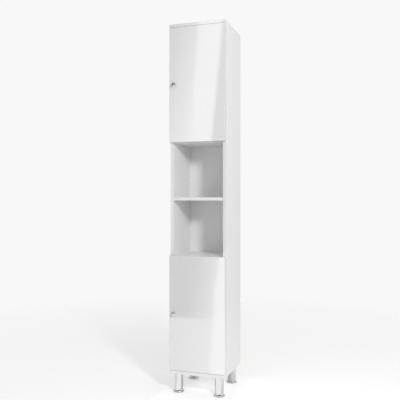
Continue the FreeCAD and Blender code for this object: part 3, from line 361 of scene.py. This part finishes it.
def particle_board():
    """Raw particle board: pale and dark flakes pressed in glue."""
    made, start = new_material("raw particle board")
    place = start.node("ShaderNodeTexCoord", out="Object")
    flakes = start.node("ShaderNodeTexVoronoi", None, {"Vector": place, "Scale": 900.0}, "Color")
    flake = start.node("ShaderNodeSeparateColor", None, {0: flakes})
    surface(start, Base_Color=flake.blend((0.42, 0.29, 0.17, 1), (0.68, 0.53, 0.36, 1)),
            Roughness=0.85, Normal=bumped(noise(place, 700.0, 5.0), 0.7, 0.3 * mm))
    return made


raw_board = particle_board()


def carries(piece, node):
    """The piece stands for a CAD node, which is hidden, and moves with its body."""
    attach(piece, nodes[node]["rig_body"])
    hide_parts(node)


def dressed(node, paint, bore=None, edge=None):
    """A merged copy of a CAD piece that stands for it. Its round faces, such as bores, can have a
    paint of their own, and its sharp edges can be softly broken."""
    flat = 0.9999
    mesh = nodes[node].data.copy()
    shape = bmesh.new()
    shape.from_mesh(mesh)
    bmesh.ops.remove_doubles(shape, verts=shape.verts, dist=weld)
    curved = [max(abs(part) for part in face.normal) < flat for face in shape.faces]
    for face, round_one in zip(shape.faces, curved):
        face.material_index = 1 if round_one and bore else 0
    shape.to_mesh(mesh)
    shape.free()
    mesh.attributes.remove(mesh.attributes["custom_normal"])
    mesh.materials.clear()
    mesh.materials.append(paint)
    if bore:
        mesh.materials.append(bore)
    mesh.set_sharp_from_angle(angle=soft_turn)
    mesh.polygons.foreach_set("use_smooth", curved)
    piece = bpy.data.objects.new(node + "_finished", mesh)
    collection.objects.link(piece)
    if edge:
        bevel = piece.modifiers.new("broken edges", "BEVEL")
        bevel.width = edge
        bevel.segments = 2
        bevel.limit_method = "ANGLE"
        bevel.angle_limit = math.radians(60)
    carries(piece, node)


panel_paint = melamine("white melamine, panels and bay boards", panel_front)
for node in ("left_side_panel", "right_side_panel", "bay_top_board", "bay_floor_board"):
    dressed(node, panel_paint, raw_board, board_break)
end_paint = melamine("white melamine, top and bottom", door_face)
for node in ("top_board", "bottom_board"):
    dressed(node, end_paint, raw_board, board_break)


# ---- Cam locks, cam bolts and wooden dowels ----
# Each board joint is pulled tight by two die-cast cams that grip steel bolts, and kept in line by
# two fluted beech dowels. The cams show their driver cross inside the cupboards.

def metal(name, colour, rough, grain, tarnish=0.06):
    """A metal whose tone and roughness drift a little over the surface."""
    made, start = new_material(name)
    place = start.node("ShaderNodeTexCoord", out="Object")
    cloud = noise(place, grain, 3.0)
    dull = tuple(part * (1 - tarnish) for part in colour)
    surface(start, Base_Color=cloud.blend((*dull, 1), (*colour, 1)), Metallic=1.0,
            Roughness=rough * 0.75 + cloud * (rough * 0.5))
    return made


cast_zinc = metal("die-cast zinc", (0.60, 0.60, 0.61), 0.42, 500.0, 0.15)
plated_steel = metal("bright zinc-plated steel", (0.70, 0.71, 0.72), 0.26, 300.0)


def beech():
    """Turned beech: a warm, fine and streaky wood."""
    made, start = new_material("beech")
    place = start.node("ShaderNodeTexCoord", out="Object")
    streaks = noise(place, 400.0, 4.0)
    surface(start, Base_Color=streaks.blend((0.52, 0.33, 0.18, 1), (0.74, 0.54, 0.34, 1)),
            Roughness=0.60 + streaks * 0.15, Normal=bumped(streaks, 0.4, 0.1 * mm))
    return made


def copying_tree(name, sizes, form):
    """A Geometry Nodes tree that sets a form on each point of its object, turned as that point
    says. The form is built by form(start, given) from the tree's named size inputs, in metres."""
    tree = bpy.data.node_groups.new(name, "GeometryNodeTree")
    face = tree.interface
    face.new_socket("Places", in_out="INPUT", socket_type="NodeSocketGeometry")
    for label, value in sizes.items():
        size = face.new_socket(label, in_out="INPUT", socket_type="NodeSocketFloat")
        size.default_value = value * mm
    face.new_socket("Finish", in_out="INPUT", socket_type="NodeSocketMaterial")
    face.new_socket("Pieces", in_out="OUTPUT", socket_type="NodeSocketGeometry")
    start = Wire(tree)
    entry = tree.nodes.new("NodeGroupInput")
    given = {socket.name: Wire(tree, socket) for socket in entry.outputs if socket.name}
    turn = start.node("GeometryNodeInputNamedAttribute", {"data_type": "FLOAT_VECTOR"},
                      {"Name": "turn"})
    copies = start.node("GeometryNodeInstanceOnPoints", None, {
        "Points": given["Places"], "Instance": form(start, given),
        "Rotation": start.node("FunctionNodeEulerToRotation", None, {"Euler": turn})})
    real = start.node("GeometryNodeRealizeInstances", None, {"Geometry": copies})
    painted = start.node("GeometryNodeSetMaterial", None,
                         {"Geometry": real, "Material": given["Finish"]})
    start.node("NodeGroupOutput", None, {"Pieces": painted})
    return tree


def grown(node, slot, tree, places, paint, **sizes):
    """The tree's form at every place of a CAD node, as one plain mesh. A place is a point in mm
    and the way the form's top looks."""
    seeds = bpy.data.meshes.new(node + "_places")
    seeds.from_pydata([Vector(spot) * mm for spot, way in places], [], [])
    turns = seeds.attributes.new("turn", "FLOAT_VECTOR", "POINT")
    for item, (spot, way) in zip(turns.data, places):
        item.vector = Vector(way).to_track_quat("Z", "X").to_euler()
    maker = bpy.data.objects.new(node + "_maker", seeds)
    collection.objects.link(maker)
    modifier = maker.modifiers.new("copies", "NODES")
    modifier.node_group = tree
    values = {label: value * mm for label, value in sizes.items()}
    values["Finish"] = paint
    for socket in tree.interface.items_tree:
        if socket.in_out == "INPUT" and socket.name in values:
            modifier[socket.identifier] = values[socket.name]
    ready = maker.evaluated_get(bpy.context.evaluated_depsgraph_get())
    mesh = bpy.data.meshes.new_from_object(ready)
    bpy.data.objects.remove(maker)
    mesh.shade_smooth()
    mesh.set_sharp_from_angle(angle=soft_turn)
    piece = bpy.data.objects.new(node + "_finished", mesh)
    collection.objects.link(piece)
    carries(piece, node)


def at_height(start, height):
    return start.node("ShaderNodeCombineXYZ", None, {2: height})


def lifted(start, form, height):
    return start.node("GeometryNodeTransform", None,
                      {"Geometry": form, "Translation": at_height(start, height)})


def drum(start, radius, bottom, top, sides=32):
    """An upright cylinder between two heights."""
    form = start.node("GeometryNodeMeshCylinder", None,
                      {"Vertices": sides, "Radius": radius, "Depth": top - bottom})
    return lifted(start, form, (top + bottom) / 2)


def without_cross(start, form, reach, width, bottom, top):
    """The form with a driver cross cut into its top."""
    bars = []
    for wide, deep in ((reach * 2, width), (width, reach * 2)):
        size = start.node("ShaderNodeCombineXYZ", None, {0: wide, 1: deep, 2: top - bottom})
        bar = start.node("GeometryNodeMeshCube", None, {"Size": size})
        bars.append(lifted(start, bar, (top + bottom) / 2))
    return start.node("GeometryNodeMeshBoolean", {"operation": "DIFFERENCE"},
                      {"Mesh 1": form, "Mesh 2": bars})


def cam_form(start, given):
    """The round cam seen from its driver side: a raised rim, a sunk face and the cross."""
    body = drum(start, given["Radius"], given["Depth"] * -1, given["Rim"] * -1)
    sunk = drum(start, given["Radius"] - given["Rim"] * 2, given["Rim"] * -2, given["Rim"])
    rim = drum(start, given["Radius"], given["Rim"] * -1.5, 0.0)
    whole = start.node("GeometryNodeMeshBoolean", {"operation": "UNION"}, {"Mesh 2": [body, rim]})
    dished = start.node("GeometryNodeMeshBoolean", {"operation": "DIFFERENCE"},
                        {"Mesh 1": whole, "Mesh 2": sunk})
    return without_cross(start, dished, given["Cross reach"], given["Cross width"],
                         given["Depth"] * -0.4, given["Rim"])


def dowel_form(start, given):
    """A fluted peg: a star outline drawn out along the peg."""
    outline = start.node("GeometryNodeCurveStar", None, {
        "Points": 20, "Inner Radius": given["Radius"] - given["Flute"],
        "Outer Radius": given["Radius"]})
    rail = start.node("GeometryNodeCurvePrimitiveLine", None, {
        "Start": at_height(start, given["Length"] / -2),
        "End": at_height(start, given["Length"] / 2)})
    return start.node("GeometryNodeCurveToMesh", None,
                      {"Curve": rail, "Profile Curve": outline, "Fill Caps": True})


board = 16
inner_face = 134
bottom_face, top_face = 116, 1884
bay_floor, bay_top = (692, 708), (1292, 1308)
sheet_front = 139.5
joint_y = (panel_front + 50, sheet_front - 50)
dowel_y = (joint_y[0] + 32, joint_y[1] - 32)
cam_reach = 34
dowel_shift = 5
cam_places = []
dowel_places = []
for side in (-1, 1):
    for y in joint_y:
        for z in (top_face - cam_reach, bottom_face + cam_reach):
            cam_places.append(((side * inner_face, y, z), (-side, 0, 0)))
        for z, way in ((bay_floor[0], -1), (bay_top[1], 1)):
            cam_places.append(((side * (inner_face - cam_reach), y, z), (0, 0, way)))
    for y in dowel_y:
        for z in (top_face - dowel_shift, bottom_face + dowel_shift):
            dowel_places.append(((side * (inner_face + board / 2), y, z), (0, 0, 1)))
        for faces in (bay_floor, bay_top):
            dowel_places.append(((side * (inner_face - dowel_shift), y, sum(faces) / 2), (1, 0, 0)))
cam_tree = copying_tree("cam lock", {"Radius": 7.4, "Depth": 12.4, "Rim": 0.5, "Cross reach": 4.5,
                                     "Cross width": 1.6}, cam_form)
dowel_tree = copying_tree("fluted dowel", {"Radius": 3.95, "Flute": 0.35, "Length": 30},
                          dowel_form)
grown("cam_locks", "zinc", cam_tree, cam_places, cast_zinc)
grown("wooden_dowels", "beech", dowel_tree, dowel_places, beech())
nodes["cam_bolts"].data.materials[0] = plated_steel


# ---- Back sheets and their joiner strips ----
# Three sheets of 3 mm hardboard, lacquered white in front and brown behind, slide into grooves.
# Two extruded plastic strips join them behind the fixed boards.

lacquer_end = (sheet_front + 0.1, sheet_front + 0.2)


def hardboard():
    """White lacquer in front, and the brown fibres of the sheet behind it."""
    made, start = new_material("hardboard, white in front")
    place = start.node("ShaderNodeTexCoord", out="Object")
    deep = start.node("ShaderNodeSeparateXYZ", None, {0: place}, "Y")
    raw = deep.step(lacquer_end[0] * mm, lacquer_end[1] * mm)
    fibres = noise(place, 260.0, 6.0)
    white = noise(place, 12.0).blend(grey(board_white - 0.02), grey(board_white))
    brown = fibres.blend((0.25, 0.15, 0.08, 1), (0.42, 0.27, 0.15, 1))
    surface(start, Base_Color=raw.blend(white, brown), Roughness=0.30 + raw * 0.45,
            Normal=bumped(fibres * raw, 0.35, 0.1 * mm))
    return made


def plastic(name, level, rough, warmth=0.0):
    """Moulded plastic with a faint skin of tiny dimples."""
    made, start = new_material(name)
    place = start.node("ShaderNodeTexCoord", out="Object")
    skin = noise(place, 900.0, 3.0)
    tone = noise(place, 30.0).blend(grey(level - 0.015, warmth), grey(level + 0.015, warmth))
    surface(start, Base_Color=tone, Roughness=rough + skin * 0.1,
            Normal=bumped(skin, 0.2, 0.04 * mm))
    return made


sheet_paint = hardboard()
for node in ("upper_back_sheet", "middle_back_sheet", "lower_back_sheet"):
    nodes[node].data.materials[0] = sheet_paint
white_plastic = plastic("white plastic", 0.84, 0.38)
for node in ("upper_sheet_joiner", "lower_sheet_joiner"):
    nodes[node].data.materials[0] = white_plastic


# ---- Wall bracket ----
# A small bent steel angle inside the upper cupboard, screwed up into the top board. Two wall
# screws go through its holes and the back sheet, so that the tall cabinet can't tip over.

def screw_form(start, given):
    """A pan-head screw: a domed head with a driver cross, a shank and a wound thread."""
    brim = given["Head height"] * 0.5
    head = drum(start, given["Head radius"], 0.0, brim)
    ball = start.node("GeometryNodeMeshUVSphere", None,
                      {"Segments": 32, "Rings": 16, "Radius": 1.0})
    squash = start.node("ShaderNodeCombineXYZ", None,
                        {0: given["Head radius"], 1: given["Head radius"], 2: brim})
    dome = start.node("GeometryNodeTransform", None, {
        "Geometry": ball, "Translation": at_height(start, brim), "Scale": squash})
    shank = drum(start, given["Thread radius"] * 0.8, given["Length"] * -1,
                 given["Head height"] * 0.3, 16)
    solid = start.node("GeometryNodeMeshBoolean", {"operation": "UNION"},
                       {"Mesh 2": [head, dome, shank]})
    crossed = without_cross(start, solid, given["Cross reach"], given["Cross width"],
                            given["Head height"] * 0.45, given["Head height"] * 2)
    core = given["Thread radius"] * 0.78
    coil = start.node("GeometryNodeCurveSpiral", None, {
        "Resolution": 14, "Rotations": 8.0, "Start Radius": core, "End Radius": core,
        "Height": given["Length"] * 0.9})
    ridge = start.node("GeometryNodeCurvePrimitiveCircle", {"mode": "RADIUS"},
                       {"Resolution": 3, "Radius": given["Thread radius"] * 0.2})
    thread = start.node("GeometryNodeCurveToMesh", None,
                        {"Curve": coil, "Profile Curve": ridge, "Fill Caps": True})
    wound = lifted(start, thread, given["Length"] * -0.95)
    return start.node("GeometryNodeJoinGeometry", None, {0: [crossed, wound]})


screw_tree = copying_tree("pan-head screw", {
    "Thread radius": 1.75, "Length": 14, "Head radius": 3.2, "Head height": 1.8,
    "Cross reach": 2, "Cross width": 0.8}, screw_form)
bracket_wall = 2
dressed("wall_bracket", plated_steel, edge=0.3 * mm)
grown("wall_bracket_screws", "steel", screw_tree,
      [((x, sheet_front - 15, top_face - bracket_wall), (0, 0, -1)) for x in (-15, 15)],
      plated_steel)


# ---- Legs ----
# Each leg is a chromed steel tube on a round screwed plate. Its turned foot stands on a threaded
# stud that winds into an insert in the tube, so every corner can be levelled.

chrome = metal("polished chrome", (0.70, 0.70, 0.71), 0.12, 60.0, 0.04)
leg_height = 100
leg_radius = 22.5
tube_bore = 21
foot_radius = 28.5
foot_top = 18
plate_wall = 3
tube_length = leg_height - plate_wall - foot_top
leg_x = 110
leg_inset = 34
front_leg_y = door_face + leg_inset
rear_leg_y = cad_high[1] / mm - leg_inset
leg_places = {"front_left": (-leg_x, front_leg_y), "front_right": (leg_x, front_leg_y),
              "rear_left": (-leg_x, rear_leg_y), "rear_right": (leg_x, rear_leg_y)}


def rounded(corners):
    """An outline in mm whose corners (radius, height, rounding) are rounded off by arcs. A point
    just beside each arc keeps the long straight faces flat."""
    hold = 0.08
    steps = 5
    points = []
    for index, corner in enumerate(corners):
        here = Vector(corner[:2])
        if len(corner) == 2:
            points.append(here)
            continue
        before = (Vector(corners[index - 1][:2]) - here).normalized()
        after = (Vector(corners[(index + 1) % len(corners)][:2]) - here).normalized()
        half = before.angle(after) / 2
        reach = corner[2] / math.tan(half)
        first = here + before * reach
        centre = here + (before + after).normalized() * (corner[2] / math.sin(half))
        last = here + after * reach
        start_way = first - centre
        turn = start_way.angle_signed(last - centre)
        points.append(first + before * hold)
        for step in range(steps + 1):
            points.append(centre + Matrix.Rotation(-turn * step / steps, 2) @ start_way)
        points.append(last + after * hold)
    return points


def turned(node, paint, spot, way, corners):
    """A lathe-turned piece on an axis through spot that looks along way, in mm."""
    shape = bmesh.new()
    ring = [shape.verts.new((point.x * mm, 0, point.y * mm)) for point in rounded(corners)]
    edges = [shape.edges.new((first, second)) for first, second in zip(ring, ring[1:] + ring[:1])]
    bmesh.ops.spin(shape, geom=ring + edges, cent=(0, 0, 0), axis=(0, 0, 1),
                   angle=2 * math.pi, steps=64, use_duplicate=False)
    bmesh.ops.remove_doubles(shape, verts=shape.verts, dist=weld)
    bmesh.ops.recalc_face_normals(shape, faces=shape.faces)
    pose = Vector(way).to_track_quat("Z", "X").to_matrix().to_4x4()
    shape.transform(Matrix.Translation(Vector(spot) * mm) @ pose)
    mesh = bpy.data.meshes.new(node)
    shape.to_mesh(mesh)
    shape.free()
    mesh.materials.append(paint)
    mesh.shade_smooth()
    mesh.set_sharp_from_angle(angle=math.radians(40))
    piece = bpy.data.objects.new(node + "_finished", mesh)
    collection.objects.link(piece)
    carries(piece, node)


tube_outline = [(leg_radius, 0, 0.4), (leg_radius, tube_length, 0.2), (tube_bore, tube_length),
                (tube_bore, 0)]
foot_outline = [(0, 0), (foot_radius, 0, 0.8), (foot_radius, 4, 1.0), (23.4, 8.0, 5.0),
                (leg_radius, 13, 3.0), (leg_radius, foot_top, 0.4), (20.6, foot_top),
                (20.6, 28, 0.6), (5.0, 28), (5.0, 6), (0, 6)]
for leg, (x, y) in leg_places.items():
    turned(leg + "_leg_tube", chrome, (x, y, foot_top), (0, 0, 1), tube_outline)
    turned(leg + "_foot", chrome, (x, y, 0), (0, 0, 1), foot_outline)
    nodes[leg + "_foot_stud"].data.materials[0] = plated_steel
nodes["leg_nut_inserts"].data.materials[0] = plated_steel
dressed("leg_mounting_plates", plated_steel)
screw_circle = 27.19
screw_step = screw_circle / math.sqrt(2)
screw_places = [((x + right * screw_step, y + back * screw_step, leg_height - plate_wall),
                 (0, 0, -1))
                for x, y in leg_places.values() for right in (-1, 1) for back in (-1, 1)]
grown("leg_screws", "steel", screw_tree, screw_places, plated_steel)


# ---- Shelves and shelf pins ----
# Three loose shelves of the same faced board, one in the open bay and one set back in each
# cupboard, lie on plated steel pins pushed into bores of the side panels.

shelf_paint = melamine("white melamine, bay shelf", panel_front + 0.5)
cupboard_paint = melamine("white melamine, cupboard shelves", panel_front + 20)
dressed("bay_shelf", shelf_paint, edge=board_break)
for node in ("upper_shelf", "lower_shelf"):
    dressed(node, cupboard_paint, edge=board_break)
dressed("shelf_pins", plated_steel, edge=0.2 * mm)


# ---- Hinges ----
# Concealed cup hinges of nickel-plated steel, two to a door. The plate and arm are screwed to the
# right side panel, the cup to the door, and a bent link on two pins joins them.

nickel = metal("nickel-plated steel", (0.72, 0.70, 0.67), 0.22, 200.0)
door_z = {"upper": (1292, 1883), "lower": (117, 708)}
hinge_inset = 90
hinge_z = {door: (top - hinge_inset, bottom + hinge_inset)
           for door, (bottom, top) in door_z.items()}
for door in door_z:
    for part in ("hinge_plates", "hinge_arms", "hinge_links", "hinge_cups"):
        dressed("%s_%s" % (door, part), nickel, edge=0.25 * mm)
    nodes[door + "_cup_pins"].data.materials[0] = plated_steel
nodes["arm_pins"].data.materials[0] = plated_steel
every_z = hinge_z["upper"] + hinge_z["lower"]
plate_x = inner_face - plate_wall
plate_screw_y = panel_front + 37
grown("hinge_plate_screws", "steel", screw_tree,
      [((plate_x, plate_screw_y, z + way * 16), (-1, 0, 0)) for z in every_z for way in (-1, 1)],
      plated_steel)
screw_x = 122.5
arm_screw_y = (panel_front + 31, panel_front + 52)
grown("hinge_arm_screws", "steel", screw_tree,
      [((screw_x, y, z), (-1, 0, 0)) for z in every_z for y in arm_screw_y], plated_steel,
      **{"Head radius": 4.2, "Head height": 1.5, "Length": 7.5, "Thread radius": 2.5})
door_back = door_face + board
cup_flange = 1
for door, heights in hinge_z.items():
    grown(door + "_cup_screws", "steel", screw_tree,
          [((screw_x, door_back + cup_flange, z + way * 24), (0, 1, 0))
           for z in heights for way in (-1, 1)], plated_steel)


# ---- Doors ----
# One board each, with a white high-gloss face and rounded edges, and a satin white inside. Soft
# clear bumpers inside the free edge quieten the closing.

face_depth = 0.6 * mm


def gloss_white():
    """A mirror-like white face whose rim is as glossy, and a satin inside."""
    made, start = new_material("high-gloss white, doors")
    place = start.node("ShaderNodeTexCoord", out="Object")
    deep = start.node("ShaderNodeSeparateXYZ", None, {0: place}, "Y")
    inside = deep.step(door_back * mm - face_depth, door_back * mm)
    cloud = noise(place, cloud_scale, 3.0)
    colour = inside.blend(clouded(cloud, gloss_shade), grey(board_white))
    surface(start, Base_Color=colour, Roughness=0.34 + cloud * 0.06,
            Coat_Weight=1 - inside, Coat_IOR=gloss_index, Coat_Roughness=gloss_rough,
            Normal=bumped(noise(place, pearl_scale), 0.02, 0.02 * mm))
    return made


door_paint = gloss_white()
soft_clear = plastic("soft clear plastic", 0.72, 0.30, 0.01)
for door in door_z:
    dressed(door + "_door_panel", door_paint, raw_board)
    nodes[door + "_door_bumpers"].data.materials[0] = soft_clear


# ---- Knobs ----
# Small turned brass knobs, chromed: a foot, a waist and a flat domed head. A screw through the
# door holds each one.

knob_x = -119.5
knob_outline = [(0, 0), (6.5, 0, 0.3), (6.5, 1.5, 0.6), (4, 4, 2.0), (4, 9, 3.0), (10, 17, 1.0),
                (10, 20.5, 2.6), (7.0, 23.2, 2.5), (0, 25)]
for door, heights in door_z.items():
    spot = (knob_x, door_face, sum(heights) / 2)
    turned(door + "_knob", chrome, spot, (0, -1, 0), knob_outline)
    nodes[door + "_knob_screw"].data.materials[0] = plated_steel
